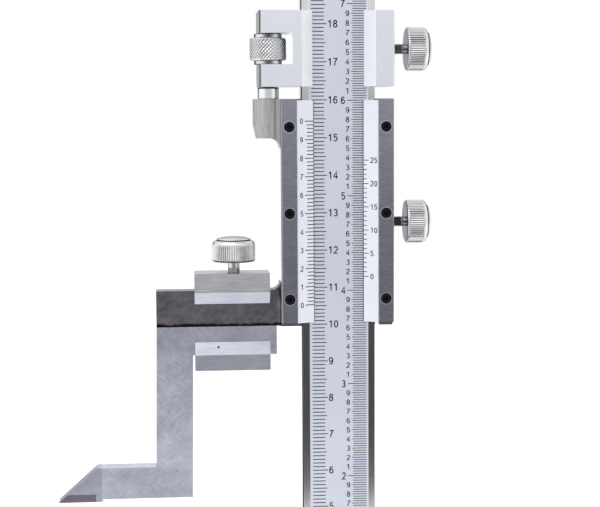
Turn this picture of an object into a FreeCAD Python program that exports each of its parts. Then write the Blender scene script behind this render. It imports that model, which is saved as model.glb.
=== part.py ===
"""Vernier height gauge, 300 mm and 12 in, standing on its base.

Millimetres, +Z up. Z = 0 is the surface plate, X = 0 the middle of the beam's width,
Y = 0 the beam's front face. The slider stands at the reading given by READING.
"""
import FreeCAD, Part
import math
import os

V = FreeCAD.Vector
AXIS_X = V(1, 0, 0)
AXIS_Y = V(0, 1, 0)
AXIS_Z = V(0, 0, 1)

# How close two positions must be to count as one
NEAR = 0.001

# Driving dimensions: scale and reading
ZERO_HEIGHT = 53.0
READING = 105.4
RANGE = 300.0

# Beam
BEAM_W = 19.8
BEAM_T = 8.0
BEAM_EDGE = 0.25
BEAM_END = 6.5

# Fits, each a gap on one side
SLIDE_FIT = 0.05
THREAD_FIT = 0.05
PAD_GAP = 0.02
REST_GAP = 0.1

# Slider frame, heights measured from its zero line
FRAME_BELOW = 5.8
FRAME_ABOVE = 54.9
LEFT_WALL = 5.45
RIGHT_WALL = 3.55
BACK_WALL = 4.0
GIB_SPACE = 1.1
FRAME_EDGE = 0.6

# Cover bars, their screws and the vernier plates
BAR_W = 4.2
BAR_T = 2.95
BAR_SHORT = 1.05
BAR_EDGE = 0.15
BAR_SCREW_FIRST = 6.45
BAR_SCREW_LAST = 7.4
BAR_SCREW_COUNT = 3
BAR_SCREW_D = 1.6
BAR_SCREW_DEPTH = 2.8
BAR_HEAD_D = 2.7
BAR_HEAD_H = 1.2
PLATE_REACH = 3.3
PLATE_T = 2.4
PLATE_TIP = 0.25
PLATE_SHORT = 0.4
FLANGE_W = 1.0
FLANGE_T = 1.0

# Gibs, one behind each lock screw, each in a shallow pocket of the wall
GIB_INSET = 2.5
GIB_SIDE = 0.3
GIB_SEAT = 0.4

# Lock screws and the clamp screw: one pattern of knurled knob on a stud
STUD_D = 3.0
KNOB_D = 11.6
KNOB_INNER = 0.95
KNOB_BAND = 3.85
KNOB_RING = 1.05
KNOB_DOME = 0.85
KNOB_BEVEL = 1.0
KNOB_STAND = 3.9
CLAMP_KNOB_STAND = 2.9
PAD_T = 1.2
LOCK_ABOVE = 21.8

# Fine adjustment: boss on the frame, screw with collar, knurled nut
ADJUST_OFFSET = 8.45
BOSS_R = 4.2
BOSS_H = 10.4
BOSS_TAPER = 0.8
BOSS_TAPER_H = 3.6
BOSS_COVE = 4.3
BOSS_GROOVE = 0.3
BOSS_GROOVE_AT = 1.6
ADJUST_D = 3.5
ADJUST_SINK = 8.0
ADJUST_SHORT = 1.5
COLLAR_D = 5.5
COLLAR_H = 3.1
NUT_D = 9.8
NUT_BAND = 5.9
NUT_HUB_D = 7.4
NUT_HUB_H = 1.1

# Fine-adjustment carriage
CARRIAGE_H = 19.9
CARRIAGE_SIDE = 2.7
CARRIAGE_WALL = 3.7
CARRIAGE_LIP = 2.95
LIP_REACH = 3.05
LIP_BEVEL = 2.95
LIP_TIP = 0.3
CARRIAGE_EDGE = 0.3
CARRIAGE_TRAVEL = 4.0
SLOT_END = 1.2

# Arm, scriber clamp and scriber
ARM_L = 33.5
ARM_H = 9.75
ARM_T = 5.0
ARM_COVE = 2.5
CLAMP_FROM_LEG = 0.55
CLAMP_FROM_FRAME = 3.1
CLAMP_SCREW_ASIDE = 0.6
CLAMP_ROOF = 4.6
CLAMP_FLOOR = 3.85
CLAMP_BACK = 2.2
CLAMP_LIP_T = 2.2
CLAMP_LIP_REACH = 3.55
CLAMP_LIP_BEVEL = 3.25
CLAMP_LIP_TIP = 0.3
SHANK_H = 7.7
SHANK_SHORT = 1.25
LEG_W = 9.7
LEG_SPLAY = 0.55
FOOT_H = 9.2
FOOT_REACH = 16.0
FOOT_RELIEF = 0.7
FOOT_PAD = 1.85
POINT_SLOPE = 1.12
TIP_L = 9.95
TIP_H = 2.1

# Base, and what holds the beam in it
BASE_LEFT = 32.0
BASE_RIGHT = 78.0
BASE_FRONT = 34.0
BASE_BACK = 46.0
BASE_H = 32.0
BASE_CORNER = 7.0
BASE_EDGE = 1.5
SCOOP_R = 22.0
SCOOP_DEPTH = 4.5
TOWER_TOP = 44.0
TOWER_SIDE = 4.3
TOWER_FRONT = 9.0
TOWER_BACK = 12.0
TOWER_FLARE = 3.0
TOWER_CORNER = 3.0
SOCKET_FLOOR = 6.0
UNDERCUT_RIM = 10.0
UNDERCUT_H = 2.0
KEEPER_T = 3.0
KEEPER_H = 30.0
KEEPER_SCREW_D = 6.0
KEEPER_SCREW_AT = 5.5

# Stop screw on the back of the beam's top end
STOP_ROOM = 1.5
STOP_HEAD_D = 7.0
STOP_HEAD_H = 2.4
STOP_D = 4.0
STOP_SLOT_W = 1.0
STOP_SLOT_H = 1.2

# Levels and planes that follow from them
ZERO_Z = ZERO_HEIGHT + READING
MID_Y = BEAM_T / 2
FRAME_FRONT = -SLIDE_FIT
CHANNEL_BACK = BEAM_T + SLIDE_FIT
BACK_Y = CHANNEL_BACK + BACK_WALL
BEAM_X = BEAM_W / 2
CHANNEL_LEFT = -BEAM_X - SLIDE_FIT
CHANNEL_RIGHT = BEAM_X + GIB_SPACE
FRAME_LEFT = CHANNEL_LEFT - LEFT_WALL
FRAME_RIGHT = CHANNEL_RIGHT + RIGHT_WALL
FRAME_BOTTOM = ZERO_Z - FRAME_BELOW
FRAME_TOP = ZERO_Z + FRAME_ABOVE
BAR_BOTTOM = FRAME_BOTTOM + BAR_SHORT
BAR_FRONT = FRAME_FRONT - BAR_T
BAR_SCREW_PITCH = (FRAME_TOP - BAR_BOTTOM - BAR_SCREW_FIRST - BAR_SCREW_LAST) / (BAR_SCREW_COUNT - 1)
LOCK_Z = ZERO_Z + LOCK_ABOVE
GIB_BACK = CHANNEL_RIGHT + GIB_SEAT
ADJUST_X = -BEAM_X - ADJUST_OFFSET
COLLAR_TOP = FRAME_TOP + COLLAR_H
CARRIAGE_Z = COLLAR_TOP + REST_GAP
CARRIAGE_TOP = CARRIAGE_Z + CARRIAGE_H
CARRIAGE_MID = CARRIAGE_Z + CARRIAGE_H / 2
CARRIAGE_LEFT = ADJUST_X - CARRIAGE_SIDE
CARRIAGE_RIGHT = CHANNEL_RIGHT + CARRIAGE_WALL
CARRIAGE_FRONT = FRAME_FRONT - CARRIAGE_LIP
NUT_H = NUT_BAND + 2 * NUT_HUB_H
SLOT_H = NUT_H + 2 * SLIDE_FIT
SLOT_RIGHT = ADJUST_X + NUT_D / 2 + SLOT_END
ARM_FRONT = MID_Y - ARM_T / 2
ARM_BACK = MID_Y + ARM_T / 2
ARM_LEFT = FRAME_LEFT - ARM_L
ARM_TOP = FRAME_BOTTOM + ARM_H
SHANK_TOP = FRAME_BOTTOM
SHANK_BOTTOM = SHANK_TOP - SHANK_H
SHANK_RIGHT = FRAME_LEFT - SHANK_SHORT
TIP_Z = READING
CLAMP_RIGHT = FRAME_LEFT - CLAMP_FROM_FRAME
CLAMP_LEFT = ARM_LEFT + LEG_W + CLAMP_FROM_LEG
CLAMP_CEILING = ARM_TOP + REST_GAP
CLAMP_TOP = CLAMP_CEILING + CLAMP_ROOF
CLAMP_SILL = SHANK_BOTTOM - SLIDE_FIT
CLAMP_BOTTOM = CLAMP_SILL - CLAMP_FLOOR
CLAMP_FRONT = ARM_FRONT - SLIDE_FIT - CLAMP_LIP_T
CLAMP_REAR = ARM_BACK + SLIDE_FIT + CLAMP_BACK
CLAMP_X = (CLAMP_LEFT + CLAMP_RIGHT) / 2 + CLAMP_SCREW_ASIDE
STOP_Z = ZERO_HEIGHT + RANGE + (CARRIAGE_TOP - ZERO_Z) + CARRIAGE_TRAVEL + STOP_ROOM + STOP_HEAD_D / 2
BEAM_TOP = STOP_Z + BEAM_END
TOWER_LEFT = -BEAM_X - TOWER_SIDE
KEEPER_BACK = BEAM_T + KEEPER_T
TOWER_REAR = KEEPER_BACK + TOWER_BACK
KEEPER_SCREW_Z = (BASE_H + TOWER_TOP) / 2


# Shapes from outlines
def block(x0, x1, y0, y1, z0, z1):
    """A box between two corners."""
    return Part.makeBox(x1 - x0, y1 - y0, z1 - z0, V(x0, y0, z0))


def plate(points, run):
    """A closed outline of straight sides, pushed along a vector."""
    wire = Part.makePolygon(points + [points[0]])
    return Part.Face(wire).extrude(run)


def rod(diameter, start, run):
    """A round bar from a point along a vector."""
    return Part.makeCylinder(diameter / 2, run.Length, start, run)


def cove(corner, first, second, radius, run):
    """The concave rounding that fills an inside corner between two faces."""
    a = corner + first * radius
    b = corner + second * radius
    middle = corner + (first + second) * (radius * (1 - math.sqrt(0.5)))
    edges = [Part.makeLine(corner, a), Part.Arc(a, middle, b).toShape(), Part.makeLine(b, corner)]
    return Part.Face(Part.Wire(edges)).extrude(run)


def turned(outline, start, axis):
    """A turned piece: points (radius, height) about an axis that leaves the start point."""
    points = [V(r, 0, h) for r, h in outline]
    wire = Part.makePolygon(points + [points[0]])
    solid = Part.Face(wire).revolve(V(0, 0, 0), AXIS_Z, 360)
    solid.Placement = FreeCAD.Placement(start, FreeCAD.Rotation(AXIS_Z, axis))
    return solid


def bevel(solid, size, keep):
    """Breaks the edges that the test picks out."""
    edges = [e for e in solid.Edges if keep(e)]
    return solid.makeChamfer(size, edges)


def is_upright(edge):
    """Whether an edge runs along Z."""
    return len(edge.Vertexes) == 2 and abs(edge.tangentAt(edge.FirstParameter).z) > 1 - NEAR


def joined(first, others):
    """One solid from several that meet."""
    return first.fuse(others).removeSplitter()


# Base and beam
def rounded_slab(x0, x1, y0, y1, z0, z1, corner):
    """A slab whose upright corners are round."""
    slab = block(x0, x1, y0, y1, z0, z1)
    return slab.makeFillet(corner, [e for e in slab.Edges if is_upright(e)])


def outline_wire(x0, x1, y0, y1, z, corner):
    """A rectangle with round corners at one level."""
    slab = rounded_slab(x0, x1, y0, y1, z, z + 1, corner)
    return min(slab.Faces, key=lambda f: f.CenterOfMass.z).OuterWire


def make_tower():
    """The part of the base that rises round the beam, narrower at its top."""
    foot = outline_wire(TOWER_LEFT - TOWER_FLARE, -TOWER_LEFT + TOWER_FLARE, -TOWER_FRONT - TOWER_FLARE,
                        TOWER_REAR + TOWER_FLARE, BASE_H - BASE_EDGE, TOWER_CORNER + TOWER_FLARE)
    head = outline_wire(TOWER_LEFT, -TOWER_LEFT, -TOWER_FRONT, TOWER_REAR, TOWER_TOP, TOWER_CORNER)
    return Part.makeLoft([foot, head], True)


def make_base():
    """Heavy base with finger scoops, an undercut sole and a socket for the beam."""
    body = rounded_slab(-BASE_LEFT, BASE_RIGHT, -BASE_FRONT, BASE_BACK, 0, BASE_H, BASE_CORNER)
    rims = [e for e in body.Edges if e.BoundBox.ZLength < NEAR]
    body = body.makeChamfer(BASE_EDGE, [e for e in rims if e.BoundBox.ZMin > BASE_H / 2])
    body = joined(body, [make_tower()])
    length = BASE_LEFT + BASE_RIGHT
    for y in (-BASE_FRONT - SCOOP_R + SCOOP_DEPTH, BASE_BACK + SCOOP_R - SCOOP_DEPTH):
        body = body.cut(rod(2 * SCOOP_R, V(-BASE_LEFT, y, BASE_H / 2), AXIS_X * length))
    undercut = block(-TOWER_LEFT, BASE_RIGHT - UNDERCUT_RIM, UNDERCUT_RIM - BASE_FRONT,
                     BASE_BACK - UNDERCUT_RIM, 0, UNDERCUT_H)
    body = body.cut(undercut)
    body = body.cut(block(-BEAM_X, BEAM_X, 0, KEEPER_BACK, SOCKET_FLOOR, TOWER_TOP))
    for side in (-1, 1):
        start = V(side * KEEPER_SCREW_AT, KEEPER_BACK, KEEPER_SCREW_Z)
        body = body.cut(rod(KEEPER_SCREW_D, start, AXIS_Y * (TOWER_BACK + TOWER_FLARE)))
    return body


def make_beam():
    """The scale blade, with its long edges broken and a tapped hole for the stop screw."""
    blade = block(-BEAM_X, BEAM_X, 0, BEAM_T, SOCKET_FLOOR, BEAM_TOP)
    blade = bevel(blade, BEAM_EDGE, is_upright)
    return blade.cut(rod(STOP_D, V(0, MID_Y, STOP_Z), AXIS_Y * BEAM_T))


def make_keeper():
    """Flat strip behind the beam that the base screws press on."""
    top = TOWER_TOP - REST_GAP
    return block(-BEAM_X, BEAM_X, BEAM_T, KEEPER_BACK, top - KEEPER_H, top)


def make_keeper_screws():
    """The two grub screws in the back of the tower."""
    starts = [V(side * KEEPER_SCREW_AT, KEEPER_BACK, KEEPER_SCREW_Z) for side in (-1, 1)]
    return Part.makeCompound([rod(KEEPER_SCREW_D, start, AXIS_Y * TOWER_BACK) for start in starts])


def make_stop_screw():
    """Cheese-head screw on the back of the beam that stops the carriage."""
    shank = rod(STOP_D, V(0, MID_Y, STOP_Z), AXIS_Y * MID_Y)
    head = rod(STOP_HEAD_D, V(0, BEAM_T, STOP_Z), AXIS_Y * STOP_HEAD_H)
    face = BEAM_T + STOP_HEAD_H
    slot = block(-STOP_HEAD_D, STOP_HEAD_D, face - STOP_SLOT_H, face,
                 STOP_Z - STOP_SLOT_W / 2, STOP_Z + STOP_SLOT_W / 2)
    return joined(shank, [head]).cut(slot)


# Slider: frame with arm and boss, cover bars, vernier plates
def bar_screw_levels():
    """Heights of the screws in a cover bar."""
    return [BAR_BOTTOM + BAR_SCREW_FIRST + k * BAR_SCREW_PITCH for k in range(BAR_SCREW_COUNT)]


def bar_edges(side):
    """Outer and inner edge of the cover bar on one side, -1 left and 1 right."""
    outer = FRAME_LEFT if side < 0 else FRAME_RIGHT
    return outer, outer - side * BAR_W


def bar_middle(side):
    """Where the screws stand across a cover bar."""
    return sum(bar_edges(side)) / 2


def make_channel():
    """The frame's channel, open to the front."""
    section = [V(FRAME_LEFT, FRAME_FRONT, FRAME_BOTTOM), V(FRAME_LEFT, BACK_Y, FRAME_BOTTOM),
               V(FRAME_RIGHT, BACK_Y, FRAME_BOTTOM), V(FRAME_RIGHT, FRAME_FRONT, FRAME_BOTTOM),
               V(CHANNEL_RIGHT, FRAME_FRONT, FRAME_BOTTOM), V(CHANNEL_RIGHT, CHANNEL_BACK, FRAME_BOTTOM),
               V(CHANNEL_LEFT, CHANNEL_BACK, FRAME_BOTTOM), V(CHANNEL_LEFT, FRAME_FRONT, FRAME_BOTTOM)]
    channel = plate(section, AXIS_Z * (FRAME_TOP - FRAME_BOTTOM))
    return bevel(channel, FRAME_EDGE, lambda e: is_upright(e) and e.BoundBox.YMin > BACK_Y - NEAR)


def make_arm():
    """The arm that carries the scriber, with coves where it leaves the frame."""
    depth = AXIS_Y * ARM_T
    arm = block(ARM_LEFT, FRAME_LEFT, ARM_FRONT, ARM_BACK, FRAME_BOTTOM, ARM_TOP)
    above = cove(V(FRAME_LEFT, ARM_FRONT, ARM_TOP), -AXIS_X, AXIS_Z, ARM_COVE, depth)
    rise = AXIS_Z * ARM_H
    front = cove(V(FRAME_LEFT, ARM_FRONT, FRAME_BOTTOM), -AXIS_X, -AXIS_Y, ARM_FRONT - FRAME_FRONT, rise)
    back = cove(V(FRAME_LEFT, ARM_BACK, FRAME_BOTTOM), -AXIS_X, AXIS_Y, ARM_FRONT - FRAME_FRONT, rise)
    return [arm, above, front, back]


def make_boss():
    """The boss that holds the fine-adjustment screw, tapered and coved underneath."""
    low = FRAME_TOP - BOSS_H
    profile = [(0, 0), (BOSS_R - BOSS_TAPER, 0), (BOSS_R, BOSS_TAPER_H), (BOSS_R, BOSS_H), (0, BOSS_H)]
    round_part = turned(profile, V(ADJUST_X, MID_Y, low), AXIS_Z)
    front = MID_Y - BOSS_R
    web = block(ADJUST_X, FRAME_LEFT, front, MID_Y + BOSS_R, low, FRAME_TOP)
    groove_x = ADJUST_X + BOSS_GROOVE_AT
    groove = block(groove_x, groove_x + BOSS_GROOVE, front, front + BOSS_GROOVE, low, FRAME_TOP)
    reach = min(BOSS_COVE, FRAME_LEFT - ADJUST_X)
    under = cove(V(FRAME_LEFT, front, low), -AXIS_X, -AXIS_Z, reach, AXIS_Y * (2 * BOSS_R))
    return [round_part, web.cut(groove), under]


def lock_bore(z, right):
    """The tapped bore for a lock screw through a right wall."""
    return rod(STUD_D + 2 * THREAD_FIT, V(CHANNEL_RIGHT, MID_Y, z), AXIS_X * (right - CHANNEL_RIGHT))


def make_gib(bottom, top):
    """Flat gib between the beam's edge and the bottom of its pocket in a right wall."""
    return block(BEAM_X + SLIDE_FIT, GIB_BACK, GIB_SIDE, BEAM_T - GIB_SIDE,
                 bottom + GIB_INSET, top - GIB_INSET)


def make_slider_frame():
    """Channel, arm and boss in one piece, with every hole that its fittings need."""
    frame = joined(make_channel(), make_arm() + make_boss())
    frame = frame.cut(lock_bore(LOCK_Z, FRAME_RIGHT))
    frame = frame.cut(make_gib(FRAME_BOTTOM, FRAME_TOP))
    frame = frame.cut(rod(ADJUST_D, V(ADJUST_X, MID_Y, FRAME_TOP - ADJUST_SINK), AXIS_Z * ADJUST_SINK))
    for side in (-1, 1):
        for z in bar_screw_levels():
            start = V(bar_middle(side), FRAME_FRONT, z)
            frame = frame.cut(rod(BAR_SCREW_D, start, AXIS_Y * BAR_SCREW_DEPTH))
    return frame


def make_cover_bar(side):
    """Bar that clamps a vernier plate's flange, counterbored for its screws."""
    outer, inner = bar_edges(side)
    rebate = inner + side * FLANGE_W
    low = FRAME_FRONT - FLANGE_T
    section = [(outer, FRAME_FRONT), (outer, BAR_FRONT), (inner, BAR_FRONT), (inner, low),
               (rebate, low), (rebate, FRAME_FRONT)]
    bar = plate([V(x, y, BAR_BOTTOM) for x, y in section], AXIS_Z * (FRAME_TOP - BAR_BOTTOM))
    bar = bevel(bar, BAR_EDGE, lambda e: e.BoundBox.YMax < BAR_FRONT + NEAR)
    for z in bar_screw_levels():
        front = V(bar_middle(side), BAR_FRONT, z)
        bar = bar.cut(rod(BAR_SCREW_D, front, AXIS_Y * BAR_T))
        bar = bar.cut(rod(BAR_HEAD_D, front, AXIS_Y * BAR_HEAD_H))
    return bar


def make_bar_screws():
    """Six cap screws, all alike, flush in the cover bars."""
    screws = []
    for side in (-1, 1):
        for z in bar_screw_levels():
            front = V(bar_middle(side), BAR_FRONT, z)
            head = rod(BAR_HEAD_D, front, AXIS_Y * BAR_HEAD_H)
            shank = rod(BAR_SCREW_D, front, AXIS_Y * (BAR_T + BAR_SCREW_DEPTH))
            screws.append(joined(shank, [head]))
    return Part.makeCompound(screws)


def make_vernier_plate(side):
    """Bevelled plate that carries a vernier scale down to the beam's face."""
    inner = bar_edges(side)[1]
    flange = inner + side * FLANGE_W
    tip = side * (BEAM_X - PLATE_REACH)
    section = [(flange, FRAME_FRONT), (flange, FRAME_FRONT - FLANGE_T), (inner, FRAME_FRONT - FLANGE_T),
               (inner, FRAME_FRONT - PLATE_T), (tip, FRAME_FRONT - PLATE_TIP), (tip, FRAME_FRONT)]
    height = FRAME_TOP - PLATE_SHORT - BAR_BOTTOM
    return plate([V(x, y, BAR_BOTTOM) for x, y in section], AXIS_Z * height)


# Screws with knurled knobs, and the pads at their tips
def make_knob_screw(tip, face, axis, stand):
    """Knurled knob and stud in one piece. The tip and the carrying face lie on its axis."""
    through = (face - tip).Length
    neck = through + stand
    r = KNOB_D / 2
    crown = neck + KNOB_INNER + KNOB_BAND + KNOB_RING
    shoulder = r - KNOB_BEVEL
    band = neck + KNOB_INNER
    outline = [(0, 0), (STUD_D / 2, 0), (STUD_D / 2, neck), (shoulder, neck), (r, band),
               (r, band + KNOB_BAND), (shoulder, crown), (0, crown + KNOB_DOME)]
    return turned(outline, tip, axis)


def make_lock_pad(z):
    """Brass pad between a lock screw's tip and the gib."""
    return rod(STUD_D, V(GIB_BACK + PAD_GAP, MID_Y, z), AXIS_X * PAD_T)


def make_lock_screw(z, right):
    """A lock screw in a right wall."""
    tip = V(GIB_BACK + PAD_GAP + PAD_T, MID_Y, z)
    return make_knob_screw(tip, V(right, MID_Y, z), AXIS_X, KNOB_STAND)


def make_clamp_pad():
    """Brass pad between the clamp screw's tip and the arm."""
    return rod(STUD_D, V(CLAMP_X, MID_Y, ARM_TOP + PAD_GAP), AXIS_Z * PAD_T)


def make_clamp_screw():
    """The screw on top of the scriber clamp."""
    tip = V(CLAMP_X, MID_Y, ARM_TOP + PAD_GAP + PAD_T)
    return make_knob_screw(tip, V(CLAMP_X, MID_Y, CLAMP_TOP), AXIS_Z, CLAMP_KNOB_STAND)


# Fine adjustment
def make_adjust_screw():
    """Screw fixed in the boss, with the collar that the carriage rests above."""
    low = FRAME_TOP - ADJUST_SINK
    high = CARRIAGE_TOP - ADJUST_SHORT
    screw = rod(ADJUST_D, V(ADJUST_X, MID_Y, low), AXIS_Z * (high - low))
    collar = rod(COLLAR_D, V(ADJUST_X, MID_Y, FRAME_TOP), AXIS_Z * COLLAR_H)
    return joined(screw, [collar])


def make_nut():
    """Knurled nut with a plain hub at each end."""
    hub = NUT_HUB_D / 2
    r = NUT_D / 2
    bore = ADJUST_D / 2 + THREAD_FIT
    low = NUT_HUB_H
    high = NUT_HUB_H + NUT_BAND
    outline = [(bore, 0), (hub, 0), (hub, low), (r, low), (r, high), (hub, high), (hub, NUT_H),
               (bore, NUT_H)]
    return turned(outline, V(ADJUST_X, MID_Y, CARRIAGE_MID - NUT_H / 2), AXIS_Z)


def make_carriage():
    """Block round the beam, with bevelled lips in front and a slot for the nut at its left."""
    tip = BEAM_X - LIP_REACH
    start = tip + LIP_BEVEL
    thin = FRAME_FRONT - LIP_TIP
    section = [(CARRIAGE_LEFT, CARRIAGE_FRONT), (-start, CARRIAGE_FRONT), (-tip, thin), (-tip, FRAME_FRONT),
               (CHANNEL_LEFT, FRAME_FRONT), (CHANNEL_LEFT, CHANNEL_BACK), (CHANNEL_RIGHT, CHANNEL_BACK),
               (CHANNEL_RIGHT, FRAME_FRONT), (tip, FRAME_FRONT), (tip, thin), (start, CARRIAGE_FRONT),
               (CARRIAGE_RIGHT, CARRIAGE_FRONT), (CARRIAGE_RIGHT, BACK_Y), (CARRIAGE_LEFT, BACK_Y)]
    body = plate([V(x, y, CARRIAGE_Z) for x, y in section], AXIS_Z * CARRIAGE_H)
    sides = (CARRIAGE_LEFT, CARRIAGE_RIGHT)
    upright = [e for e in body.Edges if is_upright(e)]
    corners = [e for e in upright if min(abs(e.BoundBox.XMin - x) for x in sides) < NEAR]
    body = body.makeChamfer(CARRIAGE_EDGE, corners)
    body = body.cut(block(CARRIAGE_LEFT, SLOT_RIGHT, CARRIAGE_FRONT, BACK_Y,
                          CARRIAGE_MID - SLOT_H / 2, CARRIAGE_MID + SLOT_H / 2))
    bore = ADJUST_D + 2 * THREAD_FIT
    body = body.cut(rod(bore, V(ADJUST_X, MID_Y, CARRIAGE_Z), AXIS_Z * CARRIAGE_H))
    body = body.cut(lock_bore(CARRIAGE_MID, CARRIAGE_RIGHT))
    return body.cut(make_gib(CARRIAGE_Z, CARRIAGE_TOP))


# Scriber and its clamp
def make_scriber_clamp():
    """C-shaped clamp round the arm and the scriber's shank, with bevelled lips in front."""
    ceiling_tip = ARM_TOP - CLAMP_LIP_REACH
    sill_tip = SHANK_BOTTOM + CLAMP_LIP_REACH
    inner = ARM_FRONT - SLIDE_FIT
    thin = inner - CLAMP_LIP_TIP
    rear = ARM_BACK + SLIDE_FIT
    section = [(CLAMP_FRONT, CLAMP_TOP), (CLAMP_FRONT, ceiling_tip + CLAMP_LIP_BEVEL), (thin, ceiling_tip),
               (inner, ceiling_tip), (inner, CLAMP_CEILING), (rear, CLAMP_CEILING), (rear, CLAMP_SILL),
               (inner, CLAMP_SILL), (inner, sill_tip), (thin, sill_tip),
               (CLAMP_FRONT, sill_tip - CLAMP_LIP_BEVEL), (CLAMP_FRONT, CLAMP_BOTTOM),
               (CLAMP_REAR, CLAMP_BOTTOM), (CLAMP_REAR, CLAMP_TOP)]
    body = plate([V(CLAMP_LEFT, y, z) for y, z in section], AXIS_X * (CLAMP_RIGHT - CLAMP_LEFT))
    bore = rod(STUD_D + 2 * THREAD_FIT, V(CLAMP_X, MID_Y, CLAMP_CEILING), AXIS_Z * CLAMP_ROOF)
    return body.cut(bore)


def scriber_corners():
    """The scriber's outline, from the shank's free end round to the same end."""
    foot_top = TIP_Z + FOOT_H
    sole = TIP_Z + FOOT_RELIEF
    foot_left = ARM_LEFT - LEG_SPLAY - FOOT_REACH
    point = foot_left - FOOT_H * POINT_SLOPE
    step = point + TIP_L + FOOT_PAD
    inner_top = ARM_LEFT + LEG_W
    return [(SHANK_RIGHT, SHANK_TOP), (ARM_LEFT, SHANK_TOP), (ARM_LEFT - LEG_SPLAY, foot_top),
            (foot_left, foot_top), (point, TIP_Z), (step, TIP_Z), (step, sole),
            (inner_top - LEG_SPLAY, sole), (inner_top, SHANK_BOTTOM), (SHANK_RIGHT, SHANK_BOTTOM)]


def tip_insert():
    """Space of the hard tip at the scriber's foot, ground to the foot's slope."""
    corners = scriber_corners()
    brow, point = corners[3], corners[4]
    slope = (brow[0] - point[0]) / (brow[1] - point[1])
    right = point[0] + TIP_L
    top = TIP_Z + TIP_H
    outline = [(point[0], TIP_Z), (right, TIP_Z), (right, top), (point[0] + slope * TIP_H, top)]
    return plate([V(x, ARM_FRONT, z) for x, z in outline], AXIS_Y * ARM_T)


def make_scriber():
    """Z-shaped scriber, notched for its hard tip."""
    corners = scriber_corners()
    body = plate([V(x, ARM_FRONT, z) for x, z in corners], AXIS_Y * ARM_T)
    return body.cut(tip_insert())


def export(name, shape):
    """Writes one piece."""
    shape.exportStep(os.path.join("parts", name + ".step"))


def main():
    os.makedirs("parts", exist_ok=True)
    pieces = {
        "base": make_base(),
        "beam": make_beam(),
        "beam_keeper": make_keeper(),
        "keeper_screws": make_keeper_screws(),
        "stop_screw": make_stop_screw(),
        "slider_frame": make_slider_frame(),
        "left_cover_bar": make_cover_bar(-1),
        "right_cover_bar": make_cover_bar(1),
        "cover_bar_screws": make_bar_screws(),
        "metric_vernier_plate": make_vernier_plate(-1),
        "inch_vernier_plate": make_vernier_plate(1),
        "slider_gib": make_gib(FRAME_BOTTOM, FRAME_TOP),
        "slider_lock_pad": make_lock_pad(LOCK_Z),
        "slider_lock_screw": make_lock_screw(LOCK_Z, FRAME_RIGHT),
        "fine_adjust_screw": make_adjust_screw(),
        "carriage": make_carriage(),
        "carriage_gib": make_gib(CARRIAGE_Z, CARRIAGE_TOP),
        "carriage_lock_pad": make_lock_pad(CARRIAGE_MID),
        "carriage_lock_screw": make_lock_screw(CARRIAGE_MID, CARRIAGE_RIGHT),
        "fine_adjust_nut": make_nut(),
        "scriber_clamp": make_scriber_clamp(),
        "clamp_pad": make_clamp_pad(),
        "clamp_screw": make_clamp_screw(),
        "scriber": make_scriber(),
        "carbide_tip": tip_insert(),
    }
    for name, shape in pieces.items():
        export(name, shape)


main()
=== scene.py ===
"""Vernier height gauge: ground and satin finishes, knurled screws and engraved scales.

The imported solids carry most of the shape. This file dresses them, and puts knurled knobs,
threads, sockets and the marks of the four scales in their place.
"""

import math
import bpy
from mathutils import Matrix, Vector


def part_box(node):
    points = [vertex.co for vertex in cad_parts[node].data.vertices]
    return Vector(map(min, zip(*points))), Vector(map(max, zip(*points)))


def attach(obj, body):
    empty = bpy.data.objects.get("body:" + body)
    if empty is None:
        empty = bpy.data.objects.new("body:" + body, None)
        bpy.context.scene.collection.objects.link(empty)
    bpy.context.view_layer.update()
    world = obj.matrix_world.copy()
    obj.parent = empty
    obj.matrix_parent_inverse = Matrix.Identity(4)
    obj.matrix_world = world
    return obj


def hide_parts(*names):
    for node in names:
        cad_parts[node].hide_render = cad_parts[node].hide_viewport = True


bl_info = {
    "name": "Vernier height gauge",
    "version": (1, 0, 0),
    "blender": (4, 5, 0),
    "location": "View3D > Sidebar > Gauge",
    "description": "Finishes, knurled screws and engraved scales of a vernier height gauge",
    "category": "Object",
}

import bpy
import numpy as np
from bpy.props import FloatProperty, FloatVectorProperty, IntProperty, PointerProperty
from mathutils import Matrix, Vector

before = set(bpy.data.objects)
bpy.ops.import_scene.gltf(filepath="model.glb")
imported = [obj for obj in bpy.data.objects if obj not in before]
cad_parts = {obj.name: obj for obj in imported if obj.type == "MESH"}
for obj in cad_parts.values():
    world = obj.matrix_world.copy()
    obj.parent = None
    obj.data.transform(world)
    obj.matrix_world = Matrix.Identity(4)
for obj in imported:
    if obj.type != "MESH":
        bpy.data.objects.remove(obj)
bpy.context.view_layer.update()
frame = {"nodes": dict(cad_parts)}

MM = 0.001
INCH = 25.4
TURN = 2 * math.pi


def box_mm(node):
    """Lowest and highest corner of a node, in millimetres."""
    low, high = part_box(node)
    return np.array(low) / MM, np.array(high) / MM


def foot_mm(node):
    """Middle of a node's underside, in millimetres."""
    low, high = box_mm(node)
    return np.append((low[:2] + high[:2]) / 2, low[2])


BEAM_LOW, _ = box_mm("beam")
LEFT_PLATE_LOW, LEFT_PLATE_HIGH = box_mm("metric_vernier_plate")
RIGHT_PLATE_LOW, RIGHT_PLATE_HIGH = box_mm("inch_vernier_plate")
FRAME_LOW, FRAME_HIGH = box_mm("slider_frame")

ZERO_HEIGHT = 53.0
INCH_OFFSET = 7.45
FRAME_BELOW = 5.8
SLIDER_ZERO = FRAME_LOW[2] + FRAME_BELOW
SCREW_HEAD_R = 1.35


# Settings that a user would change
def number_property(name, description, default, low=0.0):
    """A length in millimetres, a share or a strength that a user may change."""
    return FloatProperty(name=name, description=description, default=default, min=low)


def count_property(name, description, default):
    """A whole number that a user may change."""
    return IntProperty(name=name, description=description, default=default, min=12)


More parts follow.
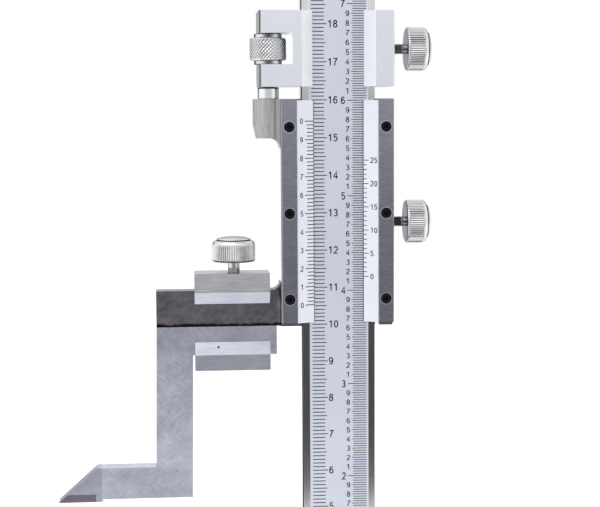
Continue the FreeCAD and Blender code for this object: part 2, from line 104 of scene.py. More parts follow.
class GaugeScaleSettings(bpy.types.PropertyGroup):
    """Lengths and widths of the engraved marks."""

    line: number_property("Line", "Width of a millimetre mark", 0.24)
    fine_line: number_property("Fine line", "Width of an inch mark", 0.2)
    stroke: number_property("Stroke", "A digit's stroke, as a share of its height", 0.145)
    proud: number_property("Paint", "How far the paint stands proud of the steel", 0.006)
    sunk: number_property("Depth", "How deep a mark goes into the steel", 0.03)
    top: number_property("Last millimetre", "Highest mark of the metric scale", 350.0)
    top_inch: number_property("Last inch", "Highest mark of the inch scale", 13.5)
    digit: number_property("Digit", "Height of the centimetre and inch numbers", 2.04)
    small_digit: number_property("Small digit", "Height of the tenths' numbers", 1.5)
    vernier_digit: number_property("Vernier digit", "Height of the vernier numbers", 1.5)


class GaugeKnurlSettings(bpy.types.PropertyGroup):
    """Knurls and threads."""

    teeth: count_property("Teeth", "Straight grooves round a knob", 60)
    groove: number_property("Groove", "Depth of a straight groove", 0.2)
    diamonds: count_property("Diamonds", "Diamonds round the nut", 32)
    diamond_depth: number_property("Diamond depth", "Depth of the diamond knurl", 0.2)
    pitch: number_property("Pitch", "Pitch of the threads", 0.5, 0.1)
    thread: number_property("Thread", "Depth of a thread", 0.26)


def colour_property(name, description, default):
    """A colour that a user may change."""
    return FloatVectorProperty(name=name, description=description, default=default, subtype="COLOR", min=0, max=1)


class GaugeColourSettings(bpy.types.PropertyGroup):
    """Colours of the finishes."""

    satin: colour_property("Satin chrome", "Carriage", (0.88, 0.91, 0.99))
    plate: colour_property("Plates", "Vernier plates", (0.88, 0.90, 0.99))
    face: colour_property("Scale face", "Satin strip under the main scales", (0.77, 0.81, 0.91))
    ground: colour_property("Ground steel", "Edges of the beam", (0.68, 0.68, 0.71))
    bar: colour_property("Cover bars", "Dark ground bars", (0.40, 0.40, 0.48))
    frame: colour_property("Frame", "Arm and channel of the slider", (0.205, 0.197, 0.215))
    boss: colour_property("Boss", "Lighter ground steel of the boss", (0.47, 0.47, 0.48))
    clamp: colour_property("Clamp", "Brushed steel of the scriber clamp", (0.86, 0.88, 1.0))
    scriber: colour_property("Scriber", "Ground tool steel", (0.62, 0.64, 0.76))
    carbide: colour_property("Carbide", "Hard tip of the scriber", (0.22, 0.21, 0.26))
    chrome: colour_property("Bright chrome", "Knobs and nut", (0.82, 0.83, 0.84))
    brass: colour_property("Brass", "Gibs and pads", (0.70, 0.52, 0.26))
    black: colour_property("Black", "Socket screws", (0.004, 0.004, 0.007))
    iron: colour_property("Cast iron", "Base", (0.045, 0.048, 0.052))
    ink: colour_property("Ink", "Filling of the marks", (0.012, 0.012, 0.016))


class GaugeStageSettings(bpy.types.PropertyGroup):
    """Camera and light."""

    lens: FloatProperty(name="Lens", description="Focal length", default=90.0, unit="CAMERA")
    sky: number_property("Sky", "Strength of the white surroundings", 0.8)
    lamp: number_property("Lamp", "Strength of the soft overhead lamp", 5.0)
    front: number_property("Front", "Brightness of the room behind the camera", 0.08)


# Meshes from arrays
def grid_faces(rows, columns, around_rows=False):
    """Quads of a grid whose columns go round; the rows may close on themselves as well."""
    i, j = np.meshgrid(np.arange(rows if around_rows else rows - 1), np.arange(columns), indexing="ij")
    up = (i + 1) % rows
    along = (j + 1) % columns
    return np.stack([i * columns + j, i * columns + along, up * columns + along, up * columns + j], -1).reshape(-1, 4)


def round_wall(radius, height):
    """Point (i, j) is (r cos t, r sin t, h), with t the j-th share of a turn."""
    angle = np.arange(radius.shape[1]) * TURN / radius.shape[1]
    return np.stack([radius * np.cos(angle), radius * np.sin(angle), height + 0 * radius], -1).reshape(-1, 3)


def revolved(radius, height, hollow=0.0):
    """A round wall whose ends close on the axis. Hollow is the share of painted shade at a point, from 0 to 1, highest
    deep in a groove and on painted shadow lines and reflection streaks.
    """
    rows, columns = radius.shape
    ends = np.array([[0, 0, height[0].mean()], [0, 0, height[-1].mean()]])
    j = np.arange(columns)
    k = (j + 1) % columns
    last = (rows - 1) * columns
    low = np.stack([k, j, np.full(columns, rows * columns)], -1)
    high = np.stack([last + j, last + k, np.full(columns, rows * columns + 1)], -1)
    depth = np.append((hollow + 0 * radius).ravel(), [0, 0])
    return np.vstack([round_wall(radius, height), ends]), [grid_faces(rows, columns), np.vstack([low, high])], depth


def ring(radius, height, hollow):
    """As revolved, for a closed section that doesn't touch the axis: the last row meets the first."""
    rows, columns = radius.shape
    return round_wall(radius, height), [grid_faces(rows, columns, True)], (hollow + 0 * radius).ravel()


def resampled(section, step):
    """The points of an outline, with more between them so that none is further than step from the next."""
    section = np.asarray(section, float)
    length = np.linalg.norm(np.diff(section, axis=0), axis=1)
    parts = [np.linspace(a, b, max(1, math.ceil(d / step)), endpoint=False)
             for a, b, d in zip(section, section[1:], length)]
    return np.vstack(parts + [section[-1:]])


def merged(shells):
    """One set of points, one list of face arrays and one set of hollows from several shells."""
    points, faces, hollows, start = [], [], [], 0
    for shell_points, shell_faces, hollow in shells:
        points.append(shell_points)
        faces += [array + start for array in shell_faces]
        hollows.append(hollow)
        start += len(shell_points)
    return np.vstack(points), faces, np.concatenate(hollows)


def turned_to(points, axis, origin):
    """Lays a shape made about +Z along an axis, x, y or z, from a point in millimetres."""
    x, y, z = points.T
    lying = {"z": (x, y, z), "x": (z, y, -x), "y": (x, z, -y)}[axis]
    return np.stack(lying, -1) + np.asarray(origin)


def add_piece(name, shell, body, material, replaced=(), shift=(0, 0, 0)):
    """Puts points in millimetres and arrays of faces into an object at the origin, and ties it to its body."""
    points, faces, hollow = shell
    sides = np.concatenate([np.full(len(array), array.shape[1]) for array in faces])
    corners = np.concatenate([array.ravel() for array in faces])
    mesh = bpy.data.meshes.new(name)
    mesh.vertices.add(len(points))
    mesh.vertices.foreach_set("co", ((points + np.asarray(shift)) * MM).ravel())
    mesh.loops.add(len(corners))
    mesh.loops.foreach_set("vertex_index", corners)
    mesh.polygons.add(len(sides))
    mesh.polygons.foreach_set("loop_start", np.cumsum(sides) - sides)
    mesh.polygons.foreach_set("loop_total", sides)
    mesh.update(calc_edges=True)
    mesh.shade_smooth()
    mesh.set_sharp_from_angle(angle=math.radians(32))
    mesh.attributes.new("hollow", "FLOAT", "POINT").data.foreach_set("value", hollow)
    mesh.materials.append(material)
    piece = bpy.data.objects.new(name, mesh)
    bpy.context.scene.collection.objects.link(piece)
    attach(piece, body)
    if replaced:
        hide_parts(*replaced)
    return piece


# Materials
class Nodes:
    """A node tree under construction; a value is a socket or a number."""

    def __init__(self, tree):
        self.tree = tree

    def node(self, kind, **values):
        """A node with some of its settings."""
        made = self.tree.nodes.new(kind)
        for name, value in values.items():
            setattr(made, name, value)
        return made

    def link(self, source, target):
        """Joins two sockets."""
        self.tree.links.new(source, target)

    def feed(self, value, socket):
        """Links a socket, or writes a number or a colour."""
        if isinstance(value, bpy.types.NodeSocket):
            self.link(value, socket)
        else:
            socket.default_value = (*value, 1) if isinstance(value, (tuple, list)) else value

    def calc(self, operation, first, second=0.0):
        """One sum of one or two values."""
        made = self.node("ShaderNodeMath", operation=operation)
        self.feed(first, made.inputs[0])
        self.feed(second, made.inputs[1])
        return made.outputs["Value"]

    def both(self, first, *others):
        """The product of shares: 1 only where each is 1."""
        for other in others:
            first = self.calc("MULTIPLY", first, other)
        return first

    def ranged(self, value, low, high, start=0.3, end=0.7, steps="LINEAR"):
        """Spreads a value from one range to another."""
        spread = self.node("ShaderNodeMapRange", interpolation_type=steps)
        for name, number in (("From Min", start), ("From Max", end), ("To Min", low), ("To Max", high)):
            spread.inputs[name].default_value = number
        self.link(value, spread.inputs["Value"])
        return spread.outputs["Result"]


class Finish(Nodes):
    """A Principled material under construction."""

    def __init__(self, name, colour, metallic, roughness):
        self.material = bpy.data.materials.new(name)
        self.material.use_nodes = True
        super().__init__(self.material.node_tree)
        self.shader = self.tree.nodes["Principled BSDF"]
        self.colour, self.roughness = colour, roughness
        self.fixed("Base Color", (*colour, 1))
        self.fixed("Metallic", metallic)
        self.fixed("Roughness", roughness)

    def fixed(self, socket, value):
        """Sets a socket of the shader that is the same all over."""
        self.shader.inputs[socket].default_value = value

    def vary(self, socket, value, first, last, start=0.0, end=1.0):
        """Takes a socket of the shader from one number to another with a value."""
        self.link(self.ranged(value, first, last, start, end), self.shader.inputs[socket])

    def noise(self, scale, turn=0.0, detail=3.0, roughness=0.5):
        """Noise on Object coordinates, turned in the XZ plane and then stretched; scale is per metre, one or three."""
        spin = self.node("ShaderNodeMapping")
        spin.inputs["Rotation"].default_value = (0, math.radians(turn), 0)
        self.link(self.node("ShaderNodeTexCoord").outputs["Object"], spin.inputs["Vector"])
        stretch = self.node("ShaderNodeMapping")
        stretch.inputs["Scale"].default_value = np.broadcast_to(scale, 3)
        self.link(spin.outputs["Vector"], stretch.inputs["Vector"])
        noise = self.node("ShaderNodeTexNoise")
        for name, number in (("Scale", 1.0), ("Detail", detail), ("Roughness", roughness)):
            noise.inputs[name].default_value = number
        self.link(stretch.outputs["Vector"], noise.inputs["Vector"])
        return noise.outputs["Fac"]

    def axes(self):
        """The object's x, y and z, in metres."""
        split = self.node("ShaderNodeSeparateXYZ")
        self.link(self.node("ShaderNodeTexCoord").outputs["Object"], split.inputs["Vector"])
        return [split.outputs[name] for name in "XYZ"]

    def above(self, value, limit, edge=0.03):
        """1 where a length lies above a limit, 0 below, with a soft edge; limit and edge in millimetres."""
        return self.ranged(value, 0, 1, (limit - edge) * MM, (limit + edge) * MM)

    def below(self, value, limit, edge=0.03):
        """1 where a length lies below a limit, 0 above."""
        return self.ranged(value, 1, 0, (limit - edge) * MM, (limit + edge) * MM)

    def between(self, value, low, high, edge=0.03):
        """1 where a length lies between two limits, in millimetres."""
        return self.both(self.above(value, low, edge), self.below(value, high, edge))

    def off(self, value, middle):
        """How far a length lies from a middle, in metres; the middle in millimetres."""
        return self.calc("ABSOLUTE", self.calc("SUBTRACT", value, middle * MM))

    def near(self, value, middle, reach, edge=0.03):
        """1 where a length lies within reach of a middle, in millimetres."""
        return self.below(self.off(value, middle), reach, edge)

    def distance(self, first, second):
        """Root of the sum of two squares."""
        return self.calc("SQRT", self.calc("ADD", self.both(first, first), self.both(second, second)))

    def mixed(self, first, second, share):
        """A share of the second value, and of the first what is left."""
        return self.calc("ADD", self.calc("MULTIPLY", first, 1 - share), self.calc("MULTIPLY", second, share))

    def groove(self):
        """The share of painted shade from the piece's own mesh: how deep a point lies in a groove, and its painted
        shadow lines and reflection streaks.
        """
        return self.node("ShaderNodeAttribute", attribute_name="hollow").outputs["Fac"]

    def blend(self, share, first, second, how="MIX"):
        """Mixes two colours; each is a socket or three numbers."""
        mix = self.node("ShaderNodeMix", data_type="RGBA", blend_type=how)
        for name, value in (("Factor", share), ("A", first), ("B", second)):
            self.feed(value, next(s for s in mix.inputs if s.name == name and s.enabled))
        return next(s for s in mix.outputs if s.enabled)

    def toned(self, colour, *zones):
        """Multiplies a colour by a number where a share is 1, one zone after another."""
        for share, tone in zones:
            colour = self.blend(share, colour, (tone, tone, tone), "MULTIPLY")
        return colour

    def shade(self, value, spread):
        """Colour that goes from darker to lighter by a share of itself with a value."""
        dark = tuple(max(0.0, c * (1 - spread)) for c in self.colour)
        light = tuple(min(1.0, c * (1 + spread)) for c in self.colour)
        return self.blend(self.ranged(value, 0, 1), dark, light)

    def paint(self, colour):
        """Uses a colour socket as the base colour."""
        self.link(colour, self.shader.inputs["Base Color"])

    def gloss(self, value, spread):
        """Roughness that varies about the material's own."""
        self.vary("Roughness", value, self.roughness - spread, self.roughness + spread, 0.3, 0.7)

    def relief(self, value, depth):
        """Bump from a value, its depth in millimetres."""
        bump = self.node("ShaderNodeBump")
        bump.inputs["Distance"].default_value = depth * MM
        bump.inputs["Strength"].default_value = 1.0
        self.link(value, bump.inputs["Height"])
        self.link(bump.outputs["Normal"], self.shader.inputs["Normal"])


def streaked(mat, scale, turn, spread, depth):
    """Fine streaks over slow clouds, as colour, roughness and relief; gives back the colour."""
    streaks = mat.noise(scale, turn)
    clouds = mat.noise(160, turn, 4.0)
    mat.gloss(streaks, mat.roughness * 0.04)
    mat.relief(streaks, depth)
    return mat.shade(mat.mixed(streaks, clouds, 0.4), spread)


def brushed(name, colour, roughness, scale, spread=0.12, depth=0.004):
    """Steel brushed one way."""
    mat = Finish(name, colour, 1.0, roughness)
    mat.paint(streaked(mat, scale, 0.0, spread, depth))
    return mat.material


def satin(name, colour):
    """Fine blasted chrome; gives back the material and its colour, for more to be laid on it."""
    mat = Finish(name, colour, 0.55, 0.38)
    grain = mat.noise(5200, 0.0, 2.0)
    clouds = mat.noise(90, 0.0, 3.0)
    mat.gloss(clouds, 0.04)
    mat.relief(grain, 0.0015)
    return mat, mat.shade(clouds, 0.025)


def vernier_plate(name, colour):
    """Satin chrome with a painted shadow line along the plate's thin edge, where |x| is least."""
    mat, colour = satin(name, colour)
    tip_x = 6.74
    x, _, _ = mat.axes()
    # Painted shadow: a dark line along the thin tip, where the plate meets the beam.
    mat.paint(mat.blend(mat.near(x, 0, tip_x), colour, (0.10, 0.10, 0.11)))
    return mat.material


def carriage_chrome(name, colour):
    """Satin chrome with painted shade on the left side, darkest along its broken rear corner and mid grey on its flat
    face, and painted highlights on the lips and the slot's end.
    """
    mat, colour = satin(name, colour)
    x, y, z = mat.axes()
    (left, _, low), (_, back, high) = box_mm("carriage")
    slot_start, slot_end = box_mm("fine_adjust_nut")[1][0] + 0.9, -10.5
    slot_half, slot_front, lips_end = 4.2, -2.95, 10.0
    side_end, corner_end, rear_start = left + 0.42, left + 0.3, back - 0.9
    slot = mat.both(mat.between(x, slot_start, slot_end), mat.near(z, (low + high) / 2, slot_half),
                    mat.above(y, slot_front, 0.02))
    lips = mat.near(x, 0, lips_end, 0.1)
    # Painted highlights: the slot's end and the lips are painted white, the right lip a little bluer.
    painted_highlight = mat.calc("MAXIMUM", slot, lips)
    colour = mat.blend(painted_highlight, colour, (1.0, 1.0, 1.0))
    colour = mat.blend(mat.both(lips, mat.above(x, 0)), colour, (0.86, 0.89, 0.97))
    # Painted shade: the left side dark, its rear corner darker, its flat face mid grey.
    side = mat.blend(mat.below(x, side_end), colour, (0.12, 0.12, 0.13))
    rear_corner_shade = mat.both(mat.below(x, corner_end), mat.above(y, rear_start))
    flat = mat.both(mat.below(x, left + 0.02, 0.01), mat.below(y, rear_start))
    side = mat.blend(rear_corner_shade, side, (0.10, 0.10, 0.11))
    mat.paint(mat.blend(flat, side, (0.30, 0.31, 0.34)))
    mat.vary("Metallic", painted_highlight, 0.55, 0.95)
    mat.vary("Roughness", slot, 0.38, 0.08)
    return mat.material


def ground_bars(name, colour):
    """Dark bars ground across, with a painted highlight ring round each screw, and the outer wall on the left painted
    darker and not metallic as shade.

    A ring is where the distance from the nearest screw's middle is just over the head's radius, past a gap painted
    dark as shadow.
    """
    mat = Finish(name, colour, 1.0, 0.28)
    colour = streaked(mat, (500, 500, 2600), 0.0, 0.13, 0.0015)
    x, _, z = mat.axes()
    gap_end, ring_start, ring_end = SCREW_HEAD_R + 0.07, SCREW_HEAD_R + 0.1, SCREW_HEAD_R + 0.26
    low, high = box_mm("cover_bar_screws")
    (first, _, bottom), (last, _, top) = low + SCREW_HEAD_R, high - SCREW_HEAD_R
    pitch = (top - bottom) / 2
    aside = mat.calc("SUBTRACT", mat.off(x, (first + last) / 2), (last - first) / 2 * MM)
    turns = mat.calc("FLOORED_MODULO", mat.calc("SUBTRACT", z, (bottom - pitch / 2) * MM), pitch * MM)
    reach = mat.distance(aside, mat.calc("SUBTRACT", turns, pitch / 2 * MM))
    # Painted highlight: a bright ring round each screw head.
    ring_highlight = mat.both(mat.above(reach, ring_start), mat.below(reach, ring_end, 0.1))
    colour = mat.blend(ring_highlight, colour, (0.85, 0.86, 0.92))
    # Painted shadow in the gap round each screw head.
    colour = mat.blend(mat.below(reach, gap_end), colour, (0.008, 0.008, 0.012))
    # Painted shade on the outer wall on the left.
    shaded_wall = mat.near(x, box_mm("left_cover_bar")[0][0], 0.03, 0.01)
    mat.paint(mat.blend(shaded_wall, colour, (0.3, 0.29, 0.32)))
    mat.vary("Metallic", shaded_wall, 1, 0)
    mat.fixed("Specular IOR Level", 0.0)
    return mat.material


def ground_frame(name, colour, boss):
    """Dark ground steel, lighter on the boss, with painted highlights by the bar, a dark line painted as a groove's
    shade, painted shade in the hollow, and a near-black band along the bottom edge.
    """
    mat = Finish(name, colour, 1.0, 0.3)
    body = streaked(mat, (420, 420, 700), 24.0, 0.4, 0.005)
    x, _, z = mat.axes()
    bar = box_mm("left_cover_bar")[0][0]
    bottom, top = FRAME_LOW[2], FRAME_HIGH[2]
    boss_foot, wall_foot, wall_top = top - 15.5, bottom + 11.6, top - 12.6
    groove_left, groove_right, bright_left = bar - 1.8, bar - 1.35, bar - 1.4
    hollow_left, hollow_top, under_top = bar - 1.25, bottom + 12.6, bottom + 10.9
    lift = mat.ranged(mat.noise((2500, 2500, 120), 0.0, 3.0), 0, 1)
    light = mat.blend(lift, tuple(c * 0.86 for c in boss), tuple(c * 1.12 for c in boss))
    # Painted highlight on the boss next to the bar, and a dark line painted as a groove's shade.
    light = mat.toned(light, (mat.above(x, bright_left, 0.2), 1.22),
                      (mat.between(x, groove_left, groove_right, 0.25), 0.66))
    on_boss = mat.both(mat.below(x, bar - 0.05, 0.05), mat.above(z, boss_foot, 0.5))
    # Painted highlight: a near-white strip beside the bar.
    bar_edge_highlight = mat.both(mat.near(x, bar, 0.02, 0.02), mat.between(z, wall_foot, wall_top))
    under = mat.both(mat.near(x, bar, 0.05, 0.02), mat.below(z, under_top, 0.7))
    # Painted shade in the hollow by the bar.
    hollow = mat.both(mat.between(x, hollow_left, bar - 0.05, 0.3), mat.below(z, hollow_top, 0.3))
    # A near-black band along the bottom edge, its top made ragged by noise.
    rise = mat.calc("MULTIPLY", mat.noise(420, 0.0, 4.0), 0.0018)
    above_ragged_foot = mat.calc("SUBTRACT", z, mat.calc("ADD", rise, bottom * MM))
    edge = mat.both(mat.ranged(above_ragged_foot, 1, 0, -0.0004, 0.0001), mat.below(x, bar, 0.02))
    steel = mat.blend(bar_edge_highlight, mat.blend(on_boss, body, light), (0.95, 0.95, 0.96))
    steel = mat.blend(under, mat.toned(steel, (hollow, 0.6)), (0.42, 0.41, 0.44))
    mat.paint(mat.blend(edge, steel, (0.015, 0.015, 0.018)))
    mat.vary("Roughness", mat.calc("SUBTRACT", on_boss, bar_edge_highlight), 0.08, 0.62, -1, 1)
    mat.vary("Metallic", under, 1, 0)
    mat.fixed("Specular IOR Level", 0.0)
    return mat.material


def brushed_clamp(name, colour):
    """Steel brushed along the clamp, with painted shade and light by height: darker below the top wall, darker still
    in a band above the lower lip and along the roof, lighter on the lower lip; and one small pit in the lower lip.
    """
    mat = Finish(name, colour, 1.0, 0.32)
    steel = streaked(mat, (260, 3000, 3000), 0.0, 0.16, 0.0005)
    x, y, z = mat.axes()
    (_, _, low), (_, _, high) = box_mm("scriber_clamp")
    lip_top, shade_top, wall_foot = low + 4.1, low + 8, high - 4.85
    pit_x, pit_z, pit_r = -32.42, 147.2, 0.3
    # Painted shade and light by height: darker below the top wall, darker still in a band above the lower lip and
    # along the roof, lighter on the lower lip.
    steel = mat.blend(mat.below(z, wall_foot), steel, (0.645, 0.655, 0.71), "MULTIPLY")
    steel = mat.toned(steel, (mat.between(z, lip_top, shade_top), 0.8),
                      (mat.above(z, high - 0.03, 0.02), 0.5), (mat.below(z, lip_top), 1.0 / 0.86))
    reach = mat.distance(mat.off(x, pit_x), mat.off(z, pit_z))
    pit = mat.both(mat.below(reach, pit_r, 0.08), mat.below(y, 1.4))
    mat.paint(mat.blend(pit, steel, (0.03, 0.03, 0.04)))
    return mat.material


def cross_ground(name, colour):
    """Ground both ways across the face: two sets of slanting scratches, each strong in its own clouds.

    The leg is painted a little lighter and the foot and its nose darker, as light and shade, and the sloping face
    behind the front darker still as shade.
    """
    mat = Finish(name, colour, 1.0, 0.34)
    falling = mat.noise((5200, 480, 480), -52.0, 5.0, 0.6)
    rising = mat.noise((5200, 480, 480), 48.0, 5.0, 0.6)
    where = mat.ranged(mat.noise(260, 0.0, 3.0), 0.15, 0.85, 0.35, 0.65)
    marks = mat.calc("ADD", mat.both(falling, where), mat.both(rising, mat.calc("SUBTRACT", 1.0, where)))
    clouds = mat.noise(140, 20.0, 4.0)
    x, y, z = mat.axes()
    (_, front, low), (_, _, high) = box_mm("scriber")
    foot_top, shank_foot = low + 9.2, high - 7.7
    slope_x, nose_x = -65.4, -64.2
    slope = mat.both(mat.below(x, slope_x, 0.3), mat.above(y, front + 0.05, 0.02))
    steel = mat.shade(mat.mixed(marks, clouds, 0.35), 0.34)
    # Painted light and shade: lighter on the leg, darker on the foot, its nose and the sloping face.
    mat.paint(mat.toned(steel, (mat.between(z, foot_top, shank_foot, 2.0), 1.13),
                        (mat.below(z, foot_top, 1.5), 0.9), (mat.below(x, nose_x, 0.1), 0.8),
                        (slope, 0.7)))
    mat.gloss(marks, 0.07)
    mat.relief(marks, 0.005)
    return mat.material


def scale_face(name, ground, face):
    """Satin strip between ground bands on the front, ground steel everywhere else.

    The strip covers x from its left to its right border where y is the front face; a painted highlight line runs along
    each.
    The left wall is painted near-black and mostly not metallic behind its front edge, as shade.
    """
    mat = Finish(name, ground, 1.0, 0.13)
    x, y, _ = mat.axes()
    left, right, border_half, wall_end = -7.86, 7.95, 0.12, BEAM_LOW[0] + 0.24
    half = (right - left) / 2
    across = mat.off(x, (left + right) / 2)
    front = mat.below(y, BEAM_LOW[1] + 0.02, 0.005)
    inside = mat.both(mat.below(across, half), front)
    border = mat.both(mat.between(across, half - border_half, half + border_half), front)
    shaded_wall = mat.both(mat.below(x, wall_end, 0.01), mat.above(y, 0.01, 0.01), mat.below(y, 1.5, 1.0))
    streaks = mat.noise((4000, 4000, 60), 0.0, 3.0)
    clouds = mat.noise(70, 0.0, 3.0)
    strip = mat.blend(mat.ranged(clouds, 0, 1), tuple(c * 0.97 for c in face), tuple(c * 1.03 for c in face))
    base = mat.blend(inside, mat.shade(streaks, 0.15), strip)
    # Painted highlight lines along the strip's borders.
    base = mat.blend(border, base, (0.85, 0.86, 0.88))
    # Painted shade: the left wall near-black and mostly not metallic.
    mat.paint(mat.blend(shaded_wall, base, (0.03, 0.03, 0.035)))
    mat.vary("Roughness", inside, mat.roughness, 0.42)
    share = mat.calc("ADD", mat.calc("MULTIPLY", inside, 0.55), mat.calc("MULTIPLY", shaded_wall, 0.9))
    mat.vary("Metallic", share, 1.0, 0.0)
    mat.fixed("Specular IOR Level", 0.0)
    mat.relief(streaks, 0.002)
    return mat.material


def cast(name, colour):
    """Blacked cast iron: dull, with a fine skin."""
    mat = Finish(name, colour, 0.3, 0.42)
    skin = mat.noise(900, 0.0, 5.0, 0.65)
    clouds = mat.noise(60, 0.0, 3.0)
    mat.paint(mat.shade(clouds, 0.2))
    mat.gloss(clouds, 0.06)
    mat.relief(skin, 0.03)
    return mat.material


def plain(name, colour, metallic, roughness, spread=0.06):
    """A turned or blacked metal with only a slight unevenness."""
    mat = Finish(name, colour, metallic, roughness)
    clouds = mat.noise(400, 0.0, 4.0)
    mat.paint(mat.shade(clouds, spread))
    mat.gloss(clouds, roughness * 0.2)
    mat.fixed("Specular IOR Level", 0.2)
    return mat.material


def knurled(name, colour, roughness):
    """Chrome or steel with painted shade in the bottoms of its grooves, and the painted shadow lines and reflection
    streaks that its mesh carries.
    """
    mat = Finish(name, colour, 1.0, roughness)
    clouds = mat.noise(500, 0.0, 4.0)
    # Painted shade where the mesh's hollow share is high.
    deep = mat.ranged(mat.groove(), 0, 0.92, 0.1, 0.95)
    mat.paint(mat.blend(deep, mat.shade(clouds, 0.06), (0.035, 0.036, 0.038)))
    mat.gloss(clouds, 0.05)
    mat.fixed("Specular Tint", (0.4, 0.4, 0.42, 1))
    return mat.material


def find(name):
    """A material made earlier in this file."""
    return bpy.data.materials[name]


def dress(node, material):
    """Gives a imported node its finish."""
    mesh = frame["nodes"][node].data
    mesh.materials.clear()
    mesh.materials.append(material)


class GAUGE_OT_finishes(bpy.types.Operator):
    """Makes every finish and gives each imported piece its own"""

    bl_idname = "gauge.finishes"
    bl_label = "Finishes"

    def execute(self, context):
        c = context.scene.gauge_colours
        bars = ground_bars("Dark ground bars", tuple(c.bar))
        plates = vernier_plate("Satin vernier plates", tuple(c.plate))
        black = plain("Blacked steel", tuple(c.black), 0.0, 0.55)
        brass = plain("Plain brass", tuple(c.brass), 1.0, 0.35)
        steel = brushed("Turned steel", (0.80, 0.81, 0.82), 0.24, (400, 400, 5000))
        knurled("Bright chrome", tuple(c.chrome), 0.2)
        knurled("Worn chrome", tuple(c.chrome), 0.33)
        knurled("Dull chrome", tuple(0.96 * shade for shade in c.chrome), 0.27)
        knurled("Threaded steel", (0.92, 0.93, 0.94), 0.24)
        plain("Mark ink", tuple(c.ink), 0.0, 0.5, 0.1)
        finishes = {
            "base": cast("Blacked iron", tuple(c.iron)),
            "beam": scale_face("Beam faces", tuple(c.ground), tuple(c.face)),
            "beam_keeper": steel, "stop_screw": black,
            "slider_frame": ground_frame("Dark ground frame", tuple(c.frame), tuple(c.boss)),
            "left_cover_bar": bars, "right_cover_bar": bars, "metric_vernier_plate": plates,
            "inch_vernier_plate": plates, "slider_gib": brass, "slider_lock_pad": brass,
            "carriage": carriage_chrome("Satin carriage", tuple(c.satin)),
            "carriage_gib": brass, "carriage_lock_pad": brass,
            "scriber_clamp": brushed_clamp("Brushed clamp", tuple(c.clamp)), "clamp_pad": brass,
            "scriber": cross_ground("Ground scriber", tuple(c.scriber)),
            "carbide_tip": brushed("Ground carbide", tuple(c.carbide), 0.3, (900, 900, 4500), 0.25),
        }
        for node, material in finishes.items():
            dress(node, material)
        return {"FINISHED"}


# Knurled screws
KNOB_R = 5.8
KNOB_H = 6.7
KNOB_FACE_R = 5.2
KNOB_CORNER = 0.6
KNOB_BAND_END = 4.2
KNOB_SHOULDER_END = 5.65
KNOB_SHOULDER_R = 4.75
DOME_R = 4.5
DOME_STEP = 0.28


def quarter(radius, height, across, up, first, last, count):
    """Points of a rounded corner about (radius, height), between two angles in degrees."""
    t = np.radians(np.linspace(first, last, count))
    return np.stack([radius + across * np.cos(t), height + up * np.sin(t)], -1)


def knob_shell(neck, groove_shade, face, settings):
    """A turned outline whose band is cut by straight grooves, and a low dome on a step painted dark as shade, the dome
    itself a little darker.

    The face on the stud's side and the bottoms of the grooves get painted shade, each by a share.

    r = min(outline(h), R - depth * g(t)), where g falls from 1 at a groove's middle to 0 halfway to the next.
    """
    corner = quarter(KNOB_FACE_R, KNOB_CORNER, KNOB_R - KNOB_FACE_R, KNOB_CORNER, -90, 0, 6)
    shoulder = quarter(KNOB_SHOULDER_R, KNOB_BAND_END, KNOB_R - KNOB_SHOULDER_R,
                       KNOB_SHOULDER_END - KNOB_BAND_END, 0, 82, 9)
    foot = KNOB_SHOULDER_END + DOME_STEP
    dome = quarter(0, foot, DOME_R - 0.02, KNOB_H - foot, 3, 80, 9)
    step = [(KNOB_SHOULDER_R - 0.02, KNOB_SHOULDER_END), (DOME_R, KNOB_SHOULDER_END - 0.05), (DOME_R, foot)]
    rows = np.vstack([[(neck, 0.0)], corner, resampled([corner[-1], shoulder[0]], 0.3)[1:-1], shoulder, step, dome])
    share = (np.arange(settings.teeth * 4) % 4) / 4
    groove = np.where(share == 0, 1.0, np.where(share == 0.5, 0.0, 0.25))
    radius = np.minimum(rows[:, :1], (KNOB_R - settings.groove * groove)[None, :])
    from_top = len(rows) - np.arange(len(rows))
    # Painted shade: a dark line on the step under the dome, a slight darkening of the dome, and the stud's side face.
    dark = np.select([(from_top > len(dome)) & (from_top <= len(dome) + 2), from_top <= len(dome), rows[:, 1] < 0.5],
                     [1.0, 0.09, face], 0.0)[:, None]
    return revolved(radius, rows[:, 1:], np.maximum(groove_shade * (rows[:, :1] - radius) / settings.groove, dark))


def oily(turn):
    """Four dark painted reflection streaks round a turned neck: half of 1 + cos 4t to a power, the turn being a share
    of the whole.
    """
    return (0.5 + 0.5 * np.cos(4 * TURN * turn)) ** 1.4


def thread_shell(radius, start, end, settings, neck=None, stud_darkening=0.0, groove_shade=1.0):
    """A threaded stud: r = R - depth * (distance to the nearest crest), the crest rising one pitch a turn.

    Above the height neck it is plain: next to the knob it carries painted reflection streaks, and further on it is
    darkened by a given share; where that share is 0, it carries painted dark reflection streaks, strongest towards two
    opposite sides. Roots of the thread get painted shade by a share.
    """
    columns = 40
    h = np.arange(start, end, settings.pitch / 6)
    h = np.append(h, end)[:, None]
    turn = np.arange(columns)[None, :] / columns
    phase = (h / settings.pitch - turn) % 1.0
    root = np.abs(2 * phase - 1)
    fade = np.clip(np.minimum(h - start, end - h) / 0.3, 0, 1)
    r = radius - settings.thread * root * fade - 0.3 * (1 - fade)
    hollow = np.maximum(groove_shade * root, stud_darkening)
    if neck is not None:
        plain = h > neck
        r = np.where(plain, radius - settings.thread / 2, r)
        # Painted reflection: dark streaks, strongest towards two opposite sides.
        edges = oily(turn) * (0.3 + 0.7 * np.cos(TURN * turn) ** 2)
        smooth = np.where(h > 0.45 * neck, 0.3 + 0.5 * oily(turn), stud_darkening) if stud_darkening else edges
        hollow = np.where(plain, smooth + 0 * root, hollow)
    return revolved(r, h, hollow)


